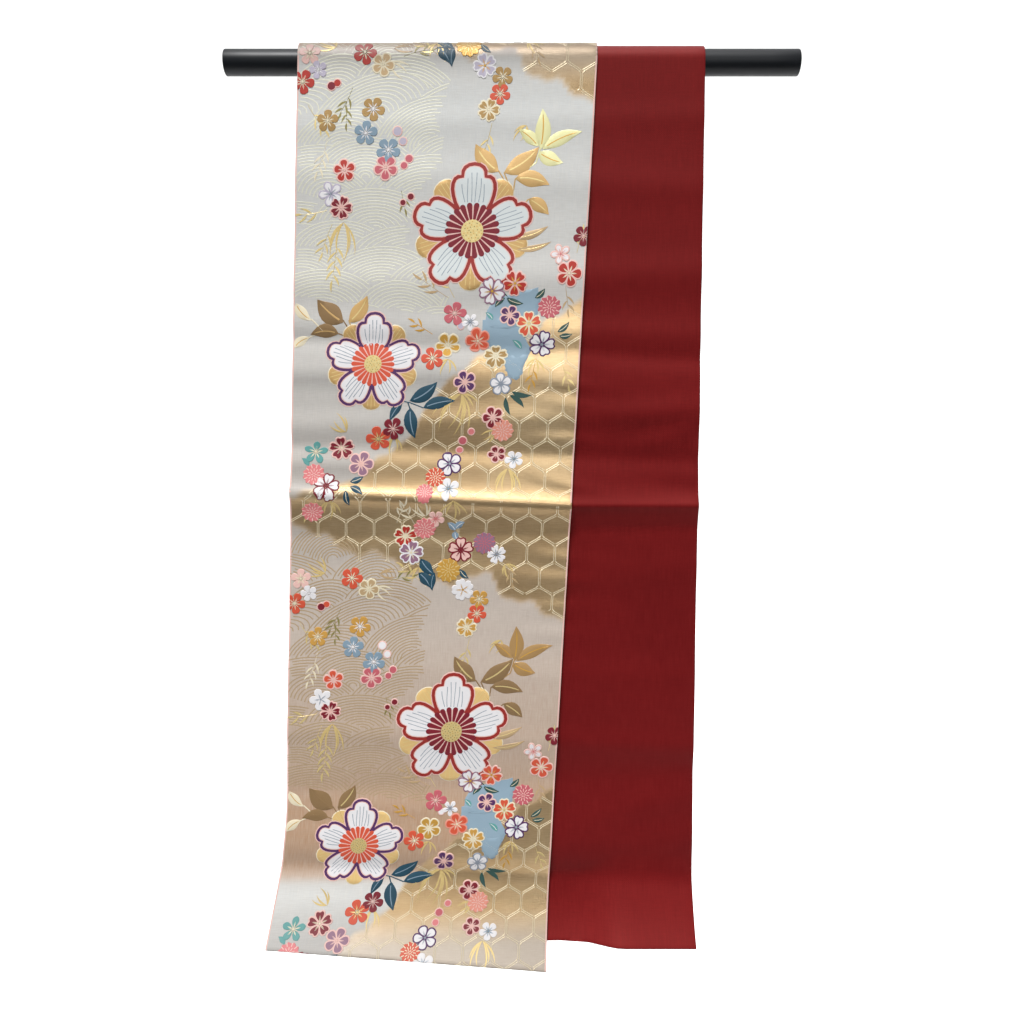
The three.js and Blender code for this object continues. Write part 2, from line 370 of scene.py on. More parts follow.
def reverse_silk():
    """Plain deep-red satin silk with a fine twill and faint streaks."""
    n = Nodes("reverse_silk", Specular_IOR_Level=0.3)
    n.shader.inputs["Specular Tint"].default_value = linear((255, 150, 140))
    strip = n.strip()
    streak = n.noise(n.scaled(strip, (700.0, 40.0, 1.0)))
    cross = n.noise(n.scaled(strip, (50.0, 900.0, 1.0)))
    cloud = n.noise(strip, 7.0)
    red = n.mix(n.ramp(cloud, 0.3, 0.7, 0.0, 1.0), linear((99, 16, 18)), linear((89, 12, 15)))
    red = n.mix(n.ramp(streak, 0.35, 0.7, 0.0, 0.35), red, linear((117, 26, 27)))
    red = n.mix(n.ramp(cross, 0.4, 0.7, 0.0, 0.3), red, linear((78, 9, 12)))
    n.set("Base Color", red)
    n.set("Roughness", n.ramp(streak, 0.2, 0.8, 0.46, 0.6))
    ribs = n.bands(strip, "DIAGONAL", 0.0011)
    n.bump(n.maths("ADD", ribs, n.maths("MULTIPLY", cross, 1.6)), 0.3, 0.0001)
    return n.material


# How much of a listed dye the threads' base colour keeps, so that they match the photo under these lamps
DYE_SHARE = 0.74


def thread(name, rgb, metallic=0.0, roughness=0.5):
    """Satin-stitched silk or gold thread of one dye, darkened by painted shade over the rod and at the hem.
    """
    n = Nodes("thread_" + name, roughness, metallic, Specular_IOR_Level=0.35)
    dye = tuple(DYE_SHARE * c for c in linear(rgb)[:3]) + (1.0,)
    # Painted shade: the thread's colour is darkened towards black over the rod and at the hem.
    n.set("Base Color", n.mix(n.value_of("painted_shade"), PAINTED_SHADE_BLACK, dye))
    strip = n.strip()
    strands = n.noise(n.scaled(strip, (300.0, 1500.0, 1.0)))
    n.set("Roughness", n.ramp(strands, 0.25, 0.75, roughness - 0.1, roughness + 0.12))
    n.bump(n.maths("ADD", n.bands(strip, "Y", 0.0007), strands), 0.4, 0.0001)
    return n.material


def rod_lacquer():
    n = Nodes("rod_lacquer", 0.3, Specular_IOR_Level=0.25)
    place = n.add("ShaderNodeTexCoord").outputs["Object"]
    grain = n.noise(n.scaled(place, (6.0, 60.0, 60.0)), detail=5.0)
    n.set("Base Color", n.mix(grain, linear((5, 8, 12)), linear((11, 14, 19))))
    n.set("Roughness", n.ramp(grain, 0.3, 0.7, 0.38, 0.5))
    n.bump(grain, 0.15, 0.0003)
    return n.material


# Dye, its red, green and blue from 0 to 255, and, for threads with some metal, metallic and roughness
THREADS = rows_of("""
    crimson 128 26 42; vermilion 184 50 38; brick 158 44 38; orange 218 88 60; pink 226 128 130;
    salmon 236 155 135; blush 240 196 186; rose 200 98 108; pearl 222 227 226; haze 150 174 190;
    straw 236 208 140 0.3 0.4; vein 150 162 172; honeycomb 250 234 198 0.35 0.4; rib 226 224 204 0.1 0.45;
    ochre 172 138 84 0.25 0.42; mauve 150 110 132; purple 88 48 98; lilac 194 186 203;
    lightblue 134 157 174; teal 98 162 158; leaf 34 74 92; green 52 84 78; white 240 237 238;
    grey 150 158 170; cream 238 226 196 0 0.45; gold 222 170 78 0.35 0.4; palegold 240 216 150 0.4 0.38;
    beige 200 170 128 0.1 0.45; lemon 240 236 178 0.2 0.4; tan 216 176 114 0.2 0.42;
    brown 152 122 84 0.2 0.45; olive 150 140 84 0.2 0.45; shade 184 160 126 0.1 0.45;
    bronze 186 148 96 0.2 0.42; backing 216 176 114 0.2 0.42; amber 218 166 82 0.2 0.42;
    buff 240 202 134 0.1 0.45
""")


# Meshes
def make_mesh(name, points, faces, materials, kinds=None, attributes=None, corner_uv=None):
    """A mesh from points in millimetres and faces that all have the same number of corners."""
    count, sides = faces.shape
    mesh = bpy.data.meshes.new(name)
    mesh.vertices.add(len(points))
    mesh.vertices.foreach_set("co", (points * MM).astype(np.float32).ravel())
    mesh.loops.add(count * sides)
    mesh.loops.foreach_set("vertex_index", faces.astype(np.int32).ravel())
    mesh.polygons.add(count)
    mesh.polygons.foreach_set("loop_start", np.arange(0, count * sides, sides, dtype=np.int32))
    mesh.polygons.foreach_set("use_smooth", np.ones(count, bool))
    if kinds is not None:
        mesh.polygons.foreach_set("material_index", kinds.astype(np.int32))
    for material in materials:
        mesh.materials.append(material)
    for key, values in (attributes or {}).items():
        kind = "FLOAT_VECTOR" if values.ndim == 2 else "FLOAT"
        slot = mesh.attributes.new(key, kind, "POINT")
        slot.data.foreach_set("vector" if values.ndim == 2 else "value", values.astype(np.float32).ravel())
    if corner_uv is not None:
        layer = mesh.uv_layers.new(name="OFBake")
        layer.data.foreach_set("uv", corner_uv.astype(np.float32).ravel())
    mesh.update(calc_edges=True)
    mesh.validate(clean_customdata=False)
    piece = bpy.data.objects.new(name, mesh)
    bpy.context.scene.collection.objects.link(piece)
    return piece


def grid_faces(index, closed=False):
    """Triangles over a grid of point numbers; closed joins the last column to the first."""
    if closed:
        index = np.concatenate([index, index[:, :1]], 1)
    corners = (index[:-1, :-1], index[:-1, 1:], index[1:, 1:], index[1:, :-1])
    a, b, c, d = (corner.ravel() for corner in corners)
    return np.concatenate([np.stack([a, b, c], -1), np.stack([a, c, d], -1)])


def outer_row_tilt(depth):
    below = (depth - CREASE_DEPTH) / (OUTER_HEM - CREASE_DEPTH)
    lower = CREASE_TILT + (OUTER_HEM_TILT - CREASE_TILT) * below
    return np.where(depth < CREASE_DEPTH, CREASE_TILT * depth / CREASE_DEPTH, lower)


# Cloth shells: each is a closed wall with rounded edges and a tapered hem
# Upper and lower edges of the gold hexagon field on the chart of one repeat: u and v
KIKKO_TOP = rows_of("0 470; 70 455; 110 425; 150 375; 175 340; 200 322; 250 305; 280 278; 310 255")
KIKKO_FOOT = rows_of("0 508; 58 542; 114 555; 159 582; 227 572; 242 597; 310 622")
KIKKO_EDGE = 9.0
REPEAT = 558.0
HIDDEN_COLUMNS = 11
ROW_STEP, FINE_ROW_STEP, FINE_REACH = 4.0, 2.0, 24.0
# A rounded edge: distances from it and the share of the wall's thickness there
EDGE_PLACES, EDGE_RISE = np.array([0.0, 0.1, 0.4, 1.1]), np.array([0.2, 0.62, 0.9, 1.0])
# The hem's first rows: distances from it and the wall's taper there
HEM_ROWS, HEM_TAPER = np.array([0.0, 0.25, 1.0]), (0.15, 0.75, 1.0)
# The masks below give a place along the strip and a value there.
# From silver silk (0) to champagne silk (1), as painted light: the champagne over the rod is painted shade,
# and the rest of the change along the fall is a painted reflection of the room
PAINTED_LIGHT_TONE = rows_of("""
    -1200 0.5; -500 0.75; -60 0.9; 4 0.9; 20 0.1; 60 0; 250 0.1; 400 0.2; 560 0.4; 640 0.5; 715 0.66;
    785 0.76; 850 1; 885 1; 918 0.92; 930 0.7; 940 0.1; 950 0.04; 1000 0.15; 1060 0.4
""")
# Painted shade for the gold thread: its share is lowered over the rod and at the hem, which take less gold
# colour and metal there
GOLD_SHARE_PAINTED_SHADE = rows_of("-60 1; -40 0.7; -8 0.35; 20 0.6; 45 1; 970 1; 1010 0.3; 1070 0.15")
# Painted shade: how much of its colour the face keeps; it is darker over the rod, in the deeper folds and at
# the hem
FACE_PAINTED_SHADE = rows_of("""
    -60 1; -40 0.6; -8 0.32; 8 0.4; 24 0.8; 40 1; 335 1; 350 0.66; 365 0.95; 436 0.95; 448 0.66; 464 0.78;
    474 0.92; 486 0.8; 540 0.86; 580 1; 890 0.95; 912 0.9; 930 1; 952 1; 972 0.78; 1000 0.56; 1070 0.46
""")
# A further painted shade for the gold thread, which turns away from the light below the rod, in the folds
# and at the hem
GOLD_PAINTED_SHADE = rows_of("""
    -60 1; -20 0.8; 10 0.4; 60 0.4; 90 1; 340 1; 362 0.8; 385 0.85; 402 1; 440 0.88; 470 0.88; 490 1;
    945 1; 972 0.85; 1010 0.8
""")
# Painted shade: how much of its colour a motif's thread keeps, darker over the rod and at the hem
THREAD_PAINTED_SHADE = rows_of("-60 1; -40 0.75; -8 0.4; 8 0.42; 22 0.8; 36 1; 925 1; 950 0.78; 1070 0.7")


def masked(table, s):
    return np.interp(s - CHART_SHIFT, *zip(*table))


def gold_share(u, s):
    """1 inside the gold hexagon field of the pattern and 0 outside it, with a soft edge, lowered by painted
    shade over the rod and at the hem.
    """
    v = np.mod(s - CHART_SHIFT, REPEAT)
    ripple = 4 * np.sin(u / 9.0) + 2.5 * np.sin(u / 4.1 + 1.0)
    top = np.interp(u, *zip(*KIKKO_TOP)) + ripple
    foot = np.interp(u, *zip(*KIKKO_FOOT)) + ripple
    inside = [smooth((w - top) / KIKKO_EDGE) * smooth((foot - w) / KIKKO_EDGE) for w in (v, v + REPEAT)]
    return np.maximum(*inside) * masked(GOLD_SHARE_PAINTED_SHADE, s)


def section(columns, low, high):
    """One closed cross-section: places across the strip and heights, outward side first."""
    middle = np.linspace(EDGE_PLACES[-1], WIDTH - EDGE_PLACES[-1], columns + 1)
    u = np.concatenate([EDGE_PLACES[:-1], middle, WIDTH - EDGE_PLACES[-2::-1]])
    share = np.concatenate([EDGE_RISE[:-1], np.ones(columns + 1), EDGE_RISE[-2::-1]])
    back = np.linspace(WIDTH, 0, HIDDEN_COLUMNS)
    outward = low + (high - low) * share
    return np.concatenate([u, back]), np.concatenate([outward, np.full(len(back), low)]), len(u)


def zipped(front, back, u):
    """Triangles that close an end, between the outward points and the hidden ones."""
    i, j, faces = 0, 0, []
    while i < len(front) - 1 or j < len(back) - 1:
        if j == len(back) - 1 or (i < len(front) - 1 and u[front[i + 1]] <= u[back[j + 1]]):
            faces.append((front[i], front[i + 1], back[j]))
            i += 1
        else:
            faces.append((front[i], back[j + 1], back[j]))
            j += 1
    return faces


def front_rows(hem):
    """Depths from the hem up to the rod, closer together at the crease."""
    low = np.arange(hem - ROW_STEP, CREASE_DEPTH + FINE_REACH, -ROW_STEP)
    fine = np.arange(CREASE_DEPTH + FINE_REACH, CREASE_DEPTH - FINE_REACH, -FINE_ROW_STEP)
    high = np.arange(CREASE_DEPTH - FINE_REACH, 0, -ROW_STEP)
    return np.concatenate([hem - HEM_ROWS, low, fine, high, [0.0]])


def shell(name, rows, columns, side, material):
    """A closed wall lofted through rows of (zone, local place of each column, its strip place, taper)."""
    low, high = side * SEAM / 2, side * HALF_THICKNESS
    u, height, half = section(columns, low, high)
    points, strips = [], []
    for zone, local, strip_place, taper in rows:
        place = local(u)
        points.append(zone(place, u, low + (height - low) * taper))
        strips.append(np.stack([u, strip_place(place), height], -1))
    points, strips = np.concatenate(points), np.concatenate(strips)
    ring, count = len(u), len(rows)
    walls = grid_faces(np.arange(count * ring).reshape(count, ring), closed=True)
    start = np.array(zipped(range(half), range(ring - 1, half - 1, -1), u))
    finish = start + (count - 1) * ring
    faces = np.concatenate([walls, start[:, ::-1], finish])
    a, b, c = (points[faces[:, k]] for k in range(3))
    if np.sum(a * np.cross(b, c)) < 0:
        faces = faces[:, ::-1]
    s = strips[:, 1]
    across = np.where(np.arange(ring) < half, u / WIDTH * 0.9, 1 - u / WIDTH * 0.08)
    along = (s - s.min()) / np.ptp(s)
    uv = np.stack([np.tile(across, count), along], -1)
    gold = gold_share(strips[:, 0], s)
    # Painted shade for the face, deeper where the gold thread lies below the rod, in the folds and at the
    # hem.
    painted_shade = masked(FACE_PAINTED_SHADE, s) * (1 - (1 - masked(GOLD_PAINTED_SHADE, s)) * gold)
    attributes = {"strip": strips * MM, "gold": gold, "painted_light_tone": masked(PAINTED_LIGHT_TONE, s), "painted_shade": painted_shade}
    return make_mesh(name, points, faces, [material], attributes=attributes, corner_uv=uv[faces.ravel()])


def hanging_rows(zone, hem, tilt, strip_place):
    """Rows of a front fall, from its tapered hem up to the rod."""
    tapers = iter(HEM_TAPER)
    rows = []
    for depth in front_rows(hem):
        slant = float(tilt(depth))
        rows.append((zone, lambda u, d=depth, t=slant: d - t * (WIDTH - u), strip_place, next(tapers, 1.0)))
    return rows


def square_rows(zone, places, strip_place):
    """Rows square to the cloth's edges."""
    return [(zone, lambda u, p=place: p + 0 * u, strip_place, 1.0) for place in places]


def round_places(length, steps):
    """Even places along a bend, without its first, which the fall before it already has."""
    return np.linspace(0, length, steps + 1)[1:]


CROWN_STEPS, FOLD_STEPS = 24, 16
INNER_CROWN = math.pi * INNER_RADIUS
REAR_ROWS = np.concatenate([np.arange(0, REAR_DEPTH, ROW_STEP), [REAR_DEPTH]])
OUTER_TOP = [
    *hanging_rows(outer_front, OUTER_HEM, outer_row_tilt, lambda d: OUTER_QUARTER + front_length(d)),
    *square_rows(outer_crown, round_places(2 * OUTER_QUARTER, CROWN_STEPS), lambda a: OUTER_QUARTER - a),
]
INNER_BEND = INNER_CROWN - round_places(INNER_CROWN, CROWN_STEPS)
INNER_TOP = [
    *hanging_rows(inner_front, INNER_HEM, lambda d: 0.0, lambda d: INNER_FRONT_START - front_length(d)),
    *square_rows(inner_crown, INNER_BEND, lambda a: INNER_CROWN_START - a),
]
OUTER_LOW = [
    *square_rows(outer_rear, REAR_ROWS, lambda d: REAR_START - rear_length(d)),
    *square_rows(half_fold, round_places(FOLD_LENGTH, FOLD_STEPS), lambda a: FOLD_START - a),
]
INNER_LOW = square_rows(inner_rear, REAR_ROWS, lambda d: INNER_CROWN_START + rear_length(d))

OUTER_FRONT_LENGTH = float(front_length(OUTER_HEM))
INNER_FRONT_LENGTH = float(front_length(INNER_HEM))
PATTERN_COLUMNS, PLAIN_COLUMNS = 62, 31
# Piece, its rows, the columns of its face, its CAD nodes and its flat length
SHEETS = (
    ("outer_{}", OUTER_TOP, PATTERN_COLUMNS, ("outer_front_{}", "outer_crown_{}"),
     OUTER_FRONT_LENGTH + 2 * OUTER_QUARTER),
    ("rear_{}", OUTER_LOW, PATTERN_COLUMNS, ("outer_rear_{}", "half_fold_{}"), REAR_LENGTH + FOLD_LENGTH),
    ("inner_{}", INNER_TOP, PLAIN_COLUMNS, ("inner_front_{}", "inner_crown_{}"),
     INNER_FRONT_LENGTH + INNER_CROWN),
    ("inner_rear_{}_silk", INNER_LOW, PLAIN_COLUMNS, ("inner_rear_{}",), REAR_LENGTH),
)


def cloths():
    """The face and the reverse wall of every stretch."""
    looks = {"face": face_silk(), "reverse": reverse_silk()}
    for name, rows, face_columns, nodes, length in SHEETS:
        for cloth, side, columns in (("face", 1, face_columns), ("reverse", -1, PLAIN_COLUMNS)):
            piece = shell(name.format(cloth), rows, columns, side, looks[cloth])
            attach(piece, "root")
            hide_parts(*(node.format(cloth) for node in nodes))


cloths()


# Woven motifs. One repeat is drawn on a chart: u across the cloth from its left edge,
# v along it from the crown, both in millimetres, and h is the thread's rise over the ground.
SKIRT = -0.05
MARGIN = 0.3
ROD_CLEARANCE = 8.0
SHARP_ANGLE = math.radians(35)
# The pressed crease crosses the chart here, so patches need more rings to bend with it
CREASE_CHART = (458, 504)
RING_STEP, FINE_RING_STEP = 7.0, 2.0
DYES = [name for name, *_ in THREADS]


class Weave:
    """Patches of thread, each with its dye's name."""

    def __init__(self):
        self.points, self.faces, self.dyes, self.count = [], [], [], 0

    def add(self, dye, points, faces):
        self.points.append(points)
        self.faces.append(faces + self.count)
        self.dyes.append(np.full(len(faces), DYES.index(dye)))
        self.count += len(points)

    def lattice(self, dye, grid, closed=False):
        """Triangles over a grid of (row, column, 3) points; closed joins the last column to the first."""
        index = np.arange(grid.shape[0] * grid.shape[1]).reshape(grid.shape[:2])
        self.add(dye, grid.reshape(-1, 3), grid_faces(index, closed))

    def fan(self, dye, outline, top, centre=None, dome=0.0):
        """A filled patch with a rounded rim, for an outline that can be seen whole from its centre."""
        centre = outline.mean(0) if centre is None else np.asarray(centre, float)
        spokes = outline - centre
        reach = np.hypot(*spokes.T)[:, None]
        inset = np.maximum(1 - 0.4 / reach, 0.7)
        near_crease = CREASE_CHART[0] < centre[1] < CREASE_CHART[1]
        turns = int(np.ceil(reach.max() / (FINE_RING_STEP if near_crease else RING_STEP)))
        shares = [np.ones_like(reach), inset] + [inset * k / turns for k in range(turns - 1, 0, -1)]
        lifts = [SKIRT, top - dome] + [top - dome * (k / turns) ** 2 for k in range(turns - 1, 0, -1)]
        n = len(outline)
        rings = [np.c_[centre + spokes * share, np.full(n, lift)] for share, lift in zip(shares, lifts)]
        self.lattice(dye, np.stack(rings), closed=True)
        hub = np.array([[centre[0], centre[1], top]])
        edge = np.arange(n)
        middle = np.stack([edge, np.roll(edge, -1), np.full(n, n)], -1)
        self.add(dye, np.concatenate([rings[-1], hub]), middle)

    def rim(self, dye, outer, inner, top):
        """A band of thread between two outlines that have the same number of points."""
        slope = outer + (inner - outer) * 0.12
        steps = ((outer, SKIRT), (slope, top), (inner, top))
        rings = [np.c_[places, np.full(len(outer), lift)] for places, lift in steps]
        self.lattice(dye, np.stack(rings), closed=True)

    def sweep(self, dye, path, half_widths, shares, lifts):
        """A strip along a path, with the given places across it and their heights."""
        ahead = np.gradient(path, axis=0)
        ahead = ahead / np.maximum(np.hypot(*ahead.T), 1e-9)[:, None]
        side = np.stack([-ahead[:, 1], ahead[:, 0]], -1)
        reach = side * half_widths[:, None]
        columns = [np.c_[path + reach * q, np.full(len(path), lift)] for q, lift in zip(shares, lifts)]
        self.lattice(dye, np.stack(columns, 1))

    def line(self, dye, path, width, top, base=SKIRT, taper=False):
        """A ridge of thread; base is the height of whatever patch it lies on."""
        path = np.asarray(path, float)
        half = np.full(len(path), width / 2)
        if taper:
            half[-1] *= 0.25
        self.sweep(dye, path, half, (-1, 0, 1), (base, top, base))

    def leaf(self, dye, base, tip, width, top, bend=0.0, vein=None, steps=8):
        """A pointed leaf from base to tip, bowed sideways by bend, with a groove or a coloured midrib."""
        base, tip = np.asarray(base, float), np.asarray(tip, float)
        t = np.linspace(0, 1, steps + 1)[:, None]
        chord = tip - base
        across = np.array([-chord[1], chord[0]])
        path = base + chord * t + across * bend * 4 * t * (1 - t)
        half = width / 2 * np.maximum(np.sin(math.pi * t[:, 0] ** 0.85), 0.03)
        self.sweep(dye, path, half, (-1, -0.86, 0, 0.86, 1), (SKIRT, top, top * 0.8, top, SKIRT))
        if vein:
            self.line(vein, path[1:-1], max(0.7, width * 0.08), top + 0.06, top - 0.06, taper=True)


def circle(u, v, radius, count=16):
    t = np.linspace(0, 2 * math.pi, count, endpoint=False)
    return np.stack([u + radius * np.cos(t), v + radius * np.sin(t)], -1)


def ragged(outline, pieces=5, depth=1.3):
    """The outline with each side cut into short pieces that waver, like floats of thread."""
    corners = np.array(outline, float)
    t = np.linspace(0, 1, pieces, endpoint=False)[:, None]
    path = np.concatenate([a + (b - a) * t for a, b in zip(corners, np.roll(corners, -1, 0))])
    waver = depth * np.stack([np.sin(path[:, 1] * 1.9), 0.5 * np.sin(path[:, 0] * 1.3)], -1)
    return path + waver


def turned(along, across, u, v, angle):
    """Chart places from distances along and across a direction, where angle 0 points up the cloth."""
    cos, sin = math.cos(math.radians(angle)), math.sin(math.radians(angle))
    return np.stack([u + along * sin + across * cos, v - along * cos + across * sin], -1)


def round_petal(reach, half_width, notch, start=0.14, count=14):
    """Places along and across a petal, from the flower's middle to its round or notched tip."""
    t = np.linspace(-math.pi, math.pi, count, endpoint=False)
    dip = notch * np.exp(-((t / 0.36) ** 2))
    along = reach * (start + (1 - start) * (0.5 + 0.5 * np.cos(t)) - dip)
    return along, half_width * np.sin(t) * (0.8 + 0.3 * np.cos(t))


def moved_in(outline, distance):
    """An outline moved inwards along its own normals."""
    step = np.roll(outline, -1, 0) - np.roll(outline, 1, 0)
    step /= np.hypot(*step.T)[:, None]
    normal = np.stack([-step[:, 1], step[:, 0]], -1)
    middle = outline.mean(0)
    if ((middle - outline) * normal).sum() < 0:
        normal = -normal
    return outline + normal * distance


# kind: half width of a petal against the flower's radius, and its notch
BLOSSOM_KINDS = {"plum": (0.44, 0.0), "cherry": (0.43, 0.15), "star": (0.36, -0.05)}


def blossom(weave, kind, dye, mark, edge, u, v, radius, turn, top):
    """Five petals with a pale drop of stamens in each."""
    width, notch = BLOSSOM_KINDS[kind]
    for k in range(5):
        angle = turn + 72 * k
        petal = turned(*round_petal(radius, width * radius, notch), u, v, angle)
        if edge:
            weave.fan(edge, moved_in(petal, -1.0), top - 0.09)
            petal = moved_in(petal, 0.35)
        weave.fan(dye, petal, top, dome=0.05)
        drop = [turned(radius * q, 0.0, u, v, angle) for q in (0.1, 0.62)]
        weave.leaf(mark, *drop, radius * 0.13, top + 0.07, steps=4)
        if not edge:
            ray = [turned(radius * q, 0.0, u, v, angle + 36) for q in (0.06, 0.42)]
            weave.line(mark, ray, 0.6, top + 0.03, top - 0.1)
    weave.fan(mark, circle(u, v, radius * 0.12, 7), top + 0.08)


def chrysanthemum(weave, dye, mark, u, v, radius, turn, top):
    """A ball of narrow petals, drawn as pale rays in two rings over a scalloped round."""
    t = np.linspace(0, 2 * math.pi, 44, endpoint=False)
    reach = radius * (0.93 + 0.07 * np.cos(11 * t))
    rim = np.stack([u + reach * np.cos(t + turn), v + reach * np.sin(t + turn)], -1)
    weave.fan(dye, rim, top, dome=0.04)
    for ring, rays, low, high in ((0, 11, 0.6, 0.92), (1, 11, 0.3, 0.56), (2, 6, 0.08, 0.26)):
        for k in range(rays):
            angle = math.degrees(turn) + 360 / rays * (k + 0.5 * (ring + 1))
            ray = [turned(radius * q, 0.0, u, v, angle) for q in (low, high)]
            weave.line(mark, ray, 1.1, top + 0.1, top - 0.03)


def bud(weave, dye, u, v, radius, top):
    weave.fan("blush", circle(u, v, radius + 0.9, 12), top - 0.08)
    weave.fan(dye, circle(u, v, radius, 12), top, dome=0.04)


# Half the outline of a large petal, from its tip: across and along, as shares of its reach
PETAL_HALF = rows_of("""
    0 1; 0.09 0.985; 0.16 0.94; 0.2 0.875; 0.2 0.81; 0.25 0.815; 0.31 0.775;
    0.345 0.7; 0.352 0.61; 0.335 0.51; 0.3 0.4; 0.245 0.3; 0.18 0.22; 0.09 0.14
""")


def big_petal(u, v, reach, angle):
    half = np.array(PETAL_HALF)
    across, along = np.concatenate([half, half[:0:-1] * (-1, 1)]).T
    return turned(along * reach, across * reach, u, v, angle)


HEART_DYES = ("gold", "olive", "lemon")
LOBES = 22
GOLDEN_ANGLE = 2.399963


def big_flower(weave, u, v, radius, turn, band, petal, stamen):
    """Five banded petals over five tan ones, with a ring of long stamens and a speckled heart."""
    for k in range(5):
        angle = turn + 36 + 72 * k
        back = big_petal(u, v, radius * 0.93, angle)
        hub = turned(radius * 0.55, 0.0, u, v, angle)
        weave.fan("cream", moved_in(back, -0.8), 0.16, centre=hub)
        weave.fan("backing", back, 0.22, centre=hub)
        for q in np.linspace(-0.24, 0.24, 7):
            t = np.linspace(0.5, 0.9 - 0.6 * abs(q), 6)
            weave.line("palegold", turned(t * radius, q * radius * t**0.5, u, v, angle), 0.9, 0.27, 0.2)
    for k in range(5):
        angle = turn + 72 * k
        reach = radius * (1.06 if k == 0 else 1.0)
        outer = big_petal(u, v, reach, angle)
        inner = moved_in(outer, radius * 0.062)
        hub = turned(reach * 0.6, 0.0, u, v, angle)
        weave.rim("blush", moved_in(outer, -0.9), moved_in(outer, 0.4), 0.27)
        weave.rim(band, outer, inner, 0.34)
        weave.fan("blush", moved_in(inner, -0.3), 0.31, centre=hub)
        weave.fan(petal, moved_in(inner, 0.7), 0.4, centre=hub, dome=0.04)
        for q in np.linspace(-0.2, 0.2, 6):
            t = np.linspace(0.42, 0.88 - 1.0 * abs(q), 7)
            bow = q * (1 + 0.12 * np.sin(9 * t + 20 * q))
            weave.line("vein", turned(t * reach, bow * reach * t**0.5, u, v, angle), 0.85, 0.48, 0.38)
    weave.fan("blush", circle(u, v, radius * 0.40, 44), 0.45)
    tip = np.linspace(0, math.pi, 7)
    spread = math.pi / LOBES * 0.84
    low, high = radius * 0.17, radius * 0.4
    shank = [low, (low + high) / 2]
    along = np.concatenate([shank, high + high * spread * np.sin(tip), shank[::-1]])
    across = np.concatenate([[1, 1], np.cos(tip) * high / along[2:-2], [-1, -1]]) * spread * along
    for k in range(LOBES):
        weave.fan(stamen, turned(along, across, u, v, turn + 360 / LOBES * (k + 0.5)), 0.52, dome=0.03)
    weave.fan("palegold", circle(u, v, radius * 0.185, 20), 0.56)
    grains = 46
    for k in range(grains):
        r, a = radius * 0.165 * math.sqrt((k + 0.5) / grains), k * GOLDEN_ANGLE
        grain = circle(u + r * math.cos(a), v + r * math.sin(a), radius * 0.014, 5)
        weave.fan(HEART_DYES[k % len(HEART_DYES)], grain, 0.66)


def sprig(weave, dye, u, v, angle, length, blades, top, blade=13.0, width=2.4, curl=0.0):
    """A stem with slender blades on alternate sides and one at its tip."""
    t = np.linspace(0, 1, 7)
    stem = turned(length * t, curl * length * t**2, u, v, angle)
    weave.line(dye, stem, 0.7, top, taper=True)
    for k in range(int(blades)):
        q = 0.25 + 0.75 * (k + 1) / blades
        at = np.array([np.interp(q, t, stem[:, 0]), np.interp(q, t, stem[:, 1])])
        lean = 0 if k == blades - 1 else (34 if k % 2 else -34)
        tip = turned(blade * (1.1 - 0.25 * q), 0.0, *at, angle + lean + 40 * curl)
        weave.leaf(dye, at, tip, width, top + 0.03, bend=0.08 if k % 2 else -0.08, steps=5)


def tuft(weave, dye, u, v, angle, length, count, spread, top):
    """Long thin blades that fan out from one point and bow outwards."""
    for k in range(int(count)):
        lean = (k / (count - 1) - 0.5) * spread
        reach = length * (1 - 0.35 * abs(lean) / spread) * (0.8 if k % 2 else 1.0)
        tip = turned(reach, 0.0, u, v, angle + lean)
        bend = 0.12 if lean > 0 else -0.12
        weave.leaf(dye, (u, v), tip, 2.1, top + 0.02 * (k % 3), bend=bend, steps=7)


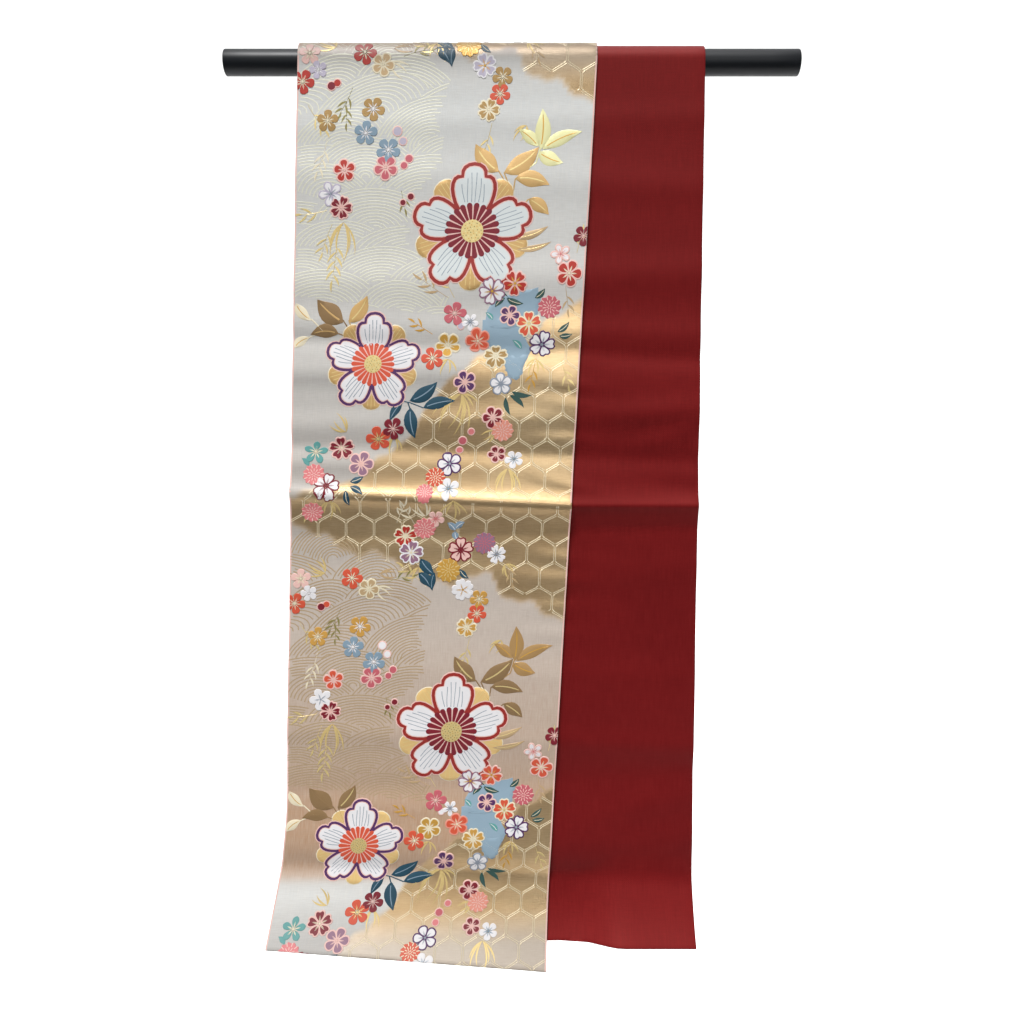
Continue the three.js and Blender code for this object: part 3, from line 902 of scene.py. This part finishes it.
# The chart of one repeat
# kind, petal dye, stamen dye, edge dye, u, v, radius
BLOSSOMS = rows_of("""
    plum blush cream - 13 15 11.5; plum vermilion cream - 70 14 12.5; plum beige cream cream 89 26 11.5;
    plum lilac white - 22 31 9.5; plum vermilion cream - 6 43 12.5; plum ochre white - 80 70 12.5;
    plum ochre cream - 33 82 11.5; plum lightblue white - 73 94 12.5; plum lightblue white - 97 111 13;
    plum rose blush blush 95 129 12.5; plum vermilion blush blush 52 132 11.5;
    star white grey lilac 38 155 12; cherry crimson blush blush 49 169 12.5;
    ball gold palegold cream 177 5 14; cherry lilac gold white 194 27 12.5; plum ochre cream - 213 38 11;
    plum orange cream - 211 55 11; cherry ochre cream cream 200 71 12; plum crimson blush - 306 198 11;
    star white pink blush 283 217 10; plum vermilion cream blush 293 237 13.5;
    ball rose blush - 274 272 13; cherry vermilion gold blush 236 247 13.5;
    cherry white gold mauve 212 255 14.5; plum rose blush - 173 279 13; star white grey - 190 288 9;
    plum purple blush blush 232 281 11; cherry orange palegold cream 253 290 14;
    plum orange cream salmon 199 307 13; cherry white grey purple 268 311 14.5;
    plum gold cream cream 167 312 13.5; plum orange cream - 151 327 12.5;
    cherry ochre cream cream 219 325 13.5; plum purple blush blush 187 352 12;
    plum white grey grey 226 354 11.5; plum crimson blush blush 219 390 11.5;
    ball salmon blush - 230 404 12.5; plum orange palegold - 95 413 14; plum crimson blush - 111 402 12;
    cherry crimson cream blush 55 424 14.5; star teal cream - 27 429 13;
    plum mauve blush blush 77 442 13.5; ball pink blush - 26 454 12.5;
    cherry white crimson crimson 40 467 15; plum crimson blush blush 225 431 10;
    plum white lightblue - 244 437 10.5; plum white grey purple 174 442 13;
    ball orange cream - 159 457 11.5; plum white lightblue - 174 470 12.5; ball pink blush - 148 474 10;
    ball pink blush - 25 495 12.5; plum blush pink - 161 503 10;
    cherry vermilion cream cream 128 524 13.5; ball pink blush - 149 515 13;
    cherry mauve cream white 135 543 14; cherry blush crimson crimson 190 540 14.5;
    ball mauve rose - 216 532 13; cherry white grey - 230 545 11.5
""")
# dye, u, v, radius
BUDS = rows_of("""
    crimson 36 47 4.4; vermilion 42 44 3.8; lilac 106 92 4.6; lilac 112 102 4; rose 119 120 4.2;
    rose 114 127 3.8; rose 187 415 4.4; pink 184 426 3.8; crimson 122 158 3.6; crimson 114 164 3.2;
    lilac 180 292 3.4; pink 196 405 3.6
""")
# dye, base u, base v, tip u, tip v, width, bend, midrib dye
LEAVES = rows_of("""
    leaf 128 372 157 352 16 0.08 lightblue; leaf 143 380 177 372 14.5 -0.06 lightblue;
    leaf 129 380 135 412 15 0.06 lightblue; leaf 120 373 107 394 10 0.05 lightblue;
    brown 54 288 26 264 23 -0.06 tan; tan 60 288 79 260 17 0.08 palegold; brown 49 299 19 300 15 0.1 tan;
    tan 213 133 188 105 20 -0.08 palegold; tan 219 134 254 108 20 0.08 palegold;
    tan 231 140 267 146 17 -0.08 palegold; tan 246 160 268 176 15 -0.05 palegold;
    beige 232 200 268 188 9 0.08 palegold; beige 236 212 272 204 7 0.08 palegold;
    lemon 256 110 256 70 17 0.04 gold; lemon 258 110 298 92 15 -0.06 gold;
    lemon 253 107 232 90 13 0.06 gold; lemon 254 113 280 124 16 0.06 gold; cream 3 268 20 286 12 0.1 gold;
    cream 2 316 18 303 12 -0.1 gold; green 228 262 246 268 8 0.1 cream; green 226 262 216 272 7 0.1 cream;
    green 258 262 268 252 7 0.1 cream; green 236 366 252 380 6 -0.1 -; green 238 362 260 366 6 0.1 -;
    green 232 368 238 388 5.5 0.1 -; leaf 66 462 80 456 8 0.08 cream; leaf 66 468 80 476 8 -0.08 cream;
    leaf 62 472 66 486 7 0.08 cream; leaf 146 550 162 568 13 0.08 lightblue;
    leaf 144 566 158 583 13 -0.08 lightblue; leaf 162 566 160 586 9 0.1 lightblue;
    teal 20 444 12 436 6 0.1 -; lightblue 183 517 174 508 8 0.1 white;
    lightblue 183 515 193 507 8 -0.1 white; lightblue 183 518 186 529 8 0.1 white;
    leaf 190 562 200 572 7 0.1 cream; green 286 302 300 300 6 0.1 cream;
    green 284 298 296 288 6 0.1 cream; teal 246 316 236 306 7 0.1 white; teal 214 286 206 278 6 0.1 white
""")
# dye and both ends of the stems that join the broad leaves
STEMS = rows_of("""
    tan 213 132 229 156; tan 219 134 229 156; tan 231 140 229 156; lemon 256 108 252 124;
    lemon 252 124 236 136; tan 246 160 236 172; brown 54 286 68 306; brown 49 299 68 306;
    tan 60 286 68 306; cream 20 285 32 296; cream 18 303 32 296; leaf 128 374 118 372;
    leaf 143 380 128 374; leaf 129 382 126 374; green 230 262 224 256; green 234 364 230 360
""")
# dye, u, v, angle, length, blades, blade length, width, curl
SPRIGS = rows_of("""
    olive 58 49 200 26 5 12 2.4 0.1; palegold 12 66 150 30 5 12 2.2 -0.1; olive 52 62 178 22 4 10 2.2 0;
    cream 33 100 190 34 6 13 2.2 0.1; palegold 46 192 182 52 8 15 2.6 0.05;
    palegold 34 172 255 26 4 14 2.4 0.1; palegold 40 186 205 30 5 13 2.2 -0.1;
    olive 112 152 168 18 3 11 2.2 0; palegold 30 478 205 24 4 12 2.2 0; cream 139 512 330 26 4 13 2.4 0;
    cream 118 508 20 22 4 12 2.2 0; palegold 172 262 330 30 5 14 2.6 0;
    beige 166 262 300 34 5 15 2.8 0.05; gold 150 300 300 22 4 11 2.4 0;
    palegold 290 330 160 26 4 12 2.2 0; gold 262 330 190 24 4 12 2.4 0;
    palegold 204 84 190 30 5 12 2.2 0.05; beige 290 250 170 24 4 12 2.2 0;
    palegold 152 20 300 30 4 13 2.4 0.1; olive 110 18 70 26 4 12 2.2 0.1; beige 240 552 160 26 4 12 2.2 0;
    palegold 300 216 10 22 4 11 2.2 0
""")
# dye, u, v, angle, length, blades, spread of the tuft in degrees
TUFTS = rows_of("""
    straw 184 364 200 50 7 62; straw 184 364 140 26 3 40; straw 238 447 182 36 6 66;
    straw 180 482 180 26 5 90; straw 44 480 180 26 5 70; straw 112 410 180 26 4 50;
    straw 60 405 320 24 4 60; straw 222 404 230 20 3 40; cream 150 500 340 24 4 70;
    straw 262 328 185 22 4 80; straw 168 328 190 20 4 90; cream 96 24 120 26 3 40; straw 40 8 300 24 5 80;
    beige 100 10 85 24 3 24; straw 240 556 150 20 4 70; straw 240 86 210 22 4 60;
    straw 52 184 185 44 6 50; straw 144 560 190 20 4 70
""")
# A pale blue haze in three overlapping parts: a point inside, then the outline's corners
CLOUDS = (
    "235 276; 219 262; 240 256; 262 250; 264 270; 258 290; 230 296; 204 292; 207 276",
    "230 306; 203 286; 240 282; 250 300; 256 318; 250 334; 238 338; 226 332; 214 318; 202 302",
    "240 336; 226 324; 254 322; 250 340; 244 350; 235 348; 229 338",
)
KIKKO_WIDE, KIKKO_PITCH, KIKKO_LINE_GAP = WIDTH / 10, REPEAT / 20, 0.95
ARCH_WIDE_PITCH, ARCH_ROW_PITCH, ARCH_TOP, WAVE_PITCH = 84.0, 29.0, 24.0, 3.1
# How far across the cloth the waves reach: v and the greatest u
WAVE_LIMIT = rows_of("-60 60; 0 118; 40 160; 80 150; 120 160; 160 128; 200 122; 240 150; 290 190")


def kikko_field(weave):
    """Double-lined hexagons, ten across the cloth and twenty rows to the repeat."""
    half, third = KIKKO_WIDE / 2, KIKKO_PITCH / 3
    for row in range(9, 25):
        for column in range(-1, 11):
            u, v = KIKKO_WIDE * (column + 0.5 + 0.5 * (row % 2)), KIKKO_PITCH * (row + 0.5)
            right, foot, left = (u + half, v + third), (u, v + 2 * third), (u - half, v + third)
            corners = np.array([(u + half, v - third), right, foot, left])
            for number, (start, end) in enumerate(zip(corners, corners[1:])):
                middle = (start + end) / 2
                if not 0 < middle[0] < WIDTH or gold_share(middle[0], middle[1] + CHART_SHIFT) < 0.5:
                    continue
                ahead = (end - start) / np.hypot(*(end - start))
                side = np.array([-ahead[1], ahead[0]])
                t = np.linspace(0.07, 0.93, 5)[:, None]
                for offset in (-KIKKO_LINE_GAP, KIKKO_LINE_GAP):
                    path = start + (end - start) * t + side * offset
                    weave.line("honeycomb", path, 0.9, 0.18)
                    feet = ((path[0], -1), (path[-1], 1)) if number == 0 else ()
                    for tip, way in feet:
                        foot = np.stack([tip, tip + side * offset * 2.2 + ahead * way * 1.2])
                        weave.line("honeycomb", foot, 0.85, 0.18)


def wave_arches(weave, seed=11):
    """Overlapping arches of ribbed lines that lean either way, each row covering the feet above it."""
    chance = np.random.default_rng(seed)
    fans = []
    for row in range(-3, 12):
        for column in range(-1, 3):
            u = ARCH_WIDE_PITCH * (column + 0.5 * (row % 2)) + chance.uniform(-14, 14)
            v = ARCH_ROW_PITCH * row + ARCH_TOP + chance.uniform(-7, 7)
            lean = math.radians(chance.uniform(-30, 30))
            wide, high = chance.uniform(48, 70), chance.uniform(32, 46)
            fans.append((u, v, wide, high, math.cos(lean), math.sin(lean)))
    for number, (u, v, wide, high, cos, sin) in enumerate(fans):
        later = [f for f in fans[number + 1 :] if abs(f[0] - u) < 140 and f[1] - v < 95]
        for k in range(int(high / WAVE_PITCH)):
            share = 1 - k * WAVE_PITCH / high
            t = np.linspace(-0.25, math.pi + 0.25, max(6, int(26 * share) + 3))
            across, up = -wide * share * np.cos(t), high * share * np.sin(t)
            path = np.stack([u + across * cos + up * sin, v + across * sin - up * cos], -1)
            keep = (path[:, 0] > -2) & (path[:, 0] < np.interp(path[:, 1], *zip(*WAVE_LIMIT)))
            keep &= (path[:, 1] > -48 + 0.3 * path[:, 0]) & (path[:, 1] < 262 + 0.12 * path[:, 0])
            for lu, lv, lw, lh, lc, ls in later:
                du, dv = path[:, 0] - lu, path[:, 1] - lv
                keep &= ((du * lc + dv * ls) / lw) ** 2 + ((du * ls - dv * lc) / lh) ** 2 >= 1.0
            starts = np.flatnonzero(keep & ~np.r_[False, keep[:-1]])
            ends = np.flatnonzero(keep & ~np.r_[keep[1:], False])
            for a, b in zip(starts, ends):
                if b - a >= 2:
                    weave.line("rib", path[a : b + 1], 1.7, 0.17)


def one_repeat():
    weave = Weave()
    wave_arches(weave)
    kikko_field(weave)
    for u in (1.1, WIDTH - 1.1):
        weave.line("blush", [(u, v) for v in np.arange(0, REPEAT + 1, 4.5)], 2.0, 0.14)
    for cloud in CLOUDS:
        hub, *outline = rows_of(cloud)
        weave.fan("haze", ragged(outline), 0.17, centre=hub)
    for dye, *ends in STEMS:
        weave.line(dye, np.linspace(ends[:2], ends[2:], 5), 1.7, 0.24)
    for dye, u, v, angle, length, blades, spread in TUFTS:
        tuft(weave, dye, u, v, angle, length, blades, spread, 0.2)
    for dye, u, v, angle, length, blades, blade, width, curl in SPRIGS:
        sprig(weave, dye, u, v, angle, length, blades, 0.2, blade, width, curl)
    big_flower(weave, 188, 193, 66, 0, "brick", "pearl", "crimson")
    for dye, *place, width, bend, vein in LEAVES:
        weave.leaf(dye, place[:2], place[2:], width, 0.28 if width > 9 else 0.3, bend, vein)
    big_flower(weave, 87, 333, 53, 1, "purple", "white", "orange")
    for number, (kind, dye, mark, edge, u, v, radius) in enumerate(BLOSSOMS):
        top = 0.48 + 0.03 * (number % 5)
        if kind == "ball":
            chrysanthemum(weave, dye, mark, u, v, radius, (u * 7 + v * 13) % 6, top)
        else:
            blossom(weave, kind, dye, mark, edge, u, v, radius, (u * 7 + v * 13) % 72, top)
    for dye, u, v, radius in BUDS:
        bud(weave, dye, u, v, radius, 0.45)
    return np.concatenate(weave.points), np.concatenate(weave.faces), np.concatenate(weave.dyes)


def outer_hem_place(u):
    """Where the outer half's hem cuts the strip; it hangs a little aslant."""
    depth = OUTER_HEM - OUTER_HEM_TILT * (WIDTH - u)
    return OUTER_QUARTER + front_length(depth)


# Dyes that change in every second repeat
CHANGES = dict(rows_of("""
    rib shade; lemon bronze; tan brown; backing buff; pearl white; lilac white; ochre amber; vermilion orange
"""))


def chart_areas(points, faces):
    """Twice the area of each triangle on the chart, with its sign."""
    a, b, c = (points[faces[:, k], :2] for k in range(3))
    return np.cross(b - a, c - a)


def whole_strip_pattern():
    """The repeat laid end to end along the strip, every second copy in the changed dyes; motif_piece later
    cuts it to the edges and hems.
    """
    points, faces, dyes = one_repeat()
    first = int(np.floor(INNER_FRONT_START / REPEAT)) - 3
    copies = range(first, 3)
    count = len(points)
    points = np.concatenate([points + (0, k * REPEAT + CHART_SHIFT, 0) for k in copies])
    faces = np.concatenate([faces + i * count for i in range(len(copies))])
    changed = np.array([DYES.index(CHANGES.get(name, name)) for name in DYES])
    dyes = np.concatenate([changed[dyes] if k % 2 else dyes for k in copies])
    faces = np.where((chart_areas(points, faces) > 0)[:, None], faces[:, ::-1], faces)
    return points, faces, dyes


def motif_piece(name, pattern, low, high):
    """The part of the pattern between two strip places, as one piece laid on the cloth's face."""
    points, faces, dyes = pattern
    middle_u, middle_v = points[faces].mean(1)[:, :2].T
    inside = (middle_v >= low) & (middle_v < high) & (middle_u > MARGIN) & (middle_u < WIDTH - MARGIN)
    faces, dyes = faces[inside], dyes[inside]
    used, faces = np.unique(faces, return_inverse=True)
    faces = faces.reshape(-1, 3)
    chart = points[used].copy()
    u = chart[:, 0] = np.clip(chart[:, 0], MARGIN, WIDTH - MARGIN)
    s = chart[:, 1] = np.clip(chart[:, 1], INNER_HEM_PLACE + MARGIN, outer_hem_place(u) - MARGIN)
    sound = np.abs(chart_areas(chart, faces)) > LEAST_AREA
    faces, dyes = faces[sound], dyes[sound]
    placed = strip_point(s, u, HALF_THICKNESS + chart[:, 2])
    flat = np.stack([u / WIDTH * 0.98, (s - s.min()) / np.ptp(s)], -1)
    present = np.unique(dyes)
    materials = [DYED[k] for k in present]
    # The threads' attribute carries painted shade over the rod and at the hem.
    attributes = {"strip": np.stack([u, s, 0 * u], -1) * MM, "painted_shade": masked(THREAD_PAINTED_SHADE, s)}
    uv = flat[faces.ravel()]
    piece = make_mesh(name, placed, faces, materials, np.searchsorted(present, dyes), attributes, uv)
    piece.data.set_sharp_from_angle(angle=SHARP_ANGLE)
    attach(piece, "root")


LEAST_AREA = 1e-4
INNER_HEM_PLACE = INNER_FRONT_START - INNER_FRONT_LENGTH
DYED = [thread(name, (red, green, blue), *finish) for name, red, green, blue, *finish in THREADS]
PATTERN = whole_strip_pattern()
motif_piece("motifs_outer_front", PATTERN, -OUTER_QUARTER, OUTER_QUARTER + OUTER_FRONT_LENGTH)
motif_piece("motifs_outer_rear", PATTERN, INNER_START, -OUTER_QUARTER)
motif_piece("motifs_inner_rear", PATTERN, INNER_CROWN_START + ROD_CLEARANCE, INNER_START)
motif_piece("motifs_inner_front", PATTERN, INNER_HEM_PLACE, INNER_FRONT_START - ROD_CLEARANCE)


# Rod
def rod_piece():
    """A lathed rod with softly rounded ends."""
    end, bevel, sides = ROD_LENGTH / 2, 1.2, 96
    turns = np.linspace(0, math.pi / 2, 5)
    corner = [(ROD_RADIUS - bevel + bevel * math.sin(t), -end + bevel - bevel * math.cos(t)) for t in turns]
    profile = [(ROD_RADIUS / 2, -end)] + corner
    profile += [(ROD_RADIUS, x) for x in np.linspace(-end + 30, end - 30, 12)]
    profile += [(r, -x) for r, x in reversed(corner)] + [(ROD_RADIUS / 2, end)]
    angles = np.linspace(0, 2 * math.pi, sides, endpoint=False)
    points = [(x, r * math.cos(a), r * math.sin(a)) for r, x in profile for a in angles]
    index = np.arange(len(points)).reshape(len(profile), sides)
    hub, first, last = np.full(sides, len(points)), index[0], index[-1]
    caps = [np.stack([hub, np.roll(first, -1), first], -1), np.stack([hub + 1, last, np.roll(last, -1)], -1)]
    points = np.array(points + [(-end, 0.0, 0.0), (end, 0.0, 0.0)])
    faces = np.concatenate([grid_faces(index, closed=True)] + caps)
    piece = make_mesh("rod_bar", points, faces, [rod_lacquer()])
    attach(piece, "root")
    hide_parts("rod")


rod_piece()


# Studio
FLOOR, FLOOR_EDGE, FLOOR_BEND, FLOOR_RADIUS = -2000.0, -900.0, 2000.0, 900.0
BACKDROP_TOP, HALF_STAGE = 4200.0, 5000.0
SUN_HEIGHT = math.radians(63)


def cyclorama():
    """A plain pale floor that curves up into a backdrop far behind the sash."""
    turn = np.linspace(0, math.pi / 2, 13)
    bend = [(FLOOR_RADIUS * math.sin(a), FLOOR_RADIUS * (1 - math.cos(a))) for a in turn]
    curve = [(FLOOR_BEND + y, FLOOR + z) for y, z in bend]
    profile = [(FLOOR_EDGE, FLOOR), (500, FLOOR)] + curve + [(FLOOR_BEND + FLOOR_RADIUS, BACKDROP_TOP)]
    points = np.array([(x, y, z) for y, z in profile for x in (-HALF_STAGE, 0, HALF_STAGE)], float)
    index = np.arange(len(points)).reshape(-1, 3)
    n = Nodes("studio_paper", 0.95, Specular_IOR_Level=0.1)
    n.shader.inputs["Base Color"].default_value = (0.88, 0.88, 0.88, 1)
    make_mesh("floor", points, grid_faces(index), [n.material])


def lamp(name, kind, place, aim, power, **settings):
    data = bpy.data.lights.new(name, kind)
    data.energy = power
    for key, value in settings.items():
        setattr(data, key, value)
    light = bpy.data.objects.new(name, data)
    light.location = place
    light.rotation_euler = (Vector(aim) - Vector(place)).to_track_quat("-Z", "Y").to_euler()
    bpy.context.scene.collection.objects.link(light)


def studio():
    cyclorama()
    sun = (-0.5, -3 * math.cos(SUN_HEIGHT), 3 * math.sin(SUN_HEIGHT))
    lamp("key", "SUN", sun, (0, 0, 0), 5.15, angle=math.radians(20))
    lamp("softbox", "AREA", (0.3, -2.7, 0.75), (0, 0, -0.5), 20, shape="SQUARE", size=1.2)
    lamp("backdrop", "AREA", (0, 0.9, 3.0), (0, 2.9, 0.1), 60, shape="SQUARE", size=3.0)
    world = bpy.data.worlds.new("studio")
    world.use_nodes = True
    sky = world.node_tree.nodes["Background"].inputs
    sky["Color"].default_value = (0.93, 0.96, 1.0, 1)
    sky["Strength"].default_value = 0.18
    bpy.context.scene.world = world
    bpy.context.scene.view_settings.view_transform = "Standard"


def camera():
    data = bpy.data.cameras.new("camera")
    data.lens, data.sensor_width = 35.3, 36.0
    view = bpy.data.objects.new("camera", data)
    view.location = (0.0, -1.117, -0.297)
    view.rotation_euler = (math.radians(90 - 9.22), 0, 0)
    bpy.context.scene.collection.objects.link(view)
    bpy.context.scene.camera = view


studio()
camera()
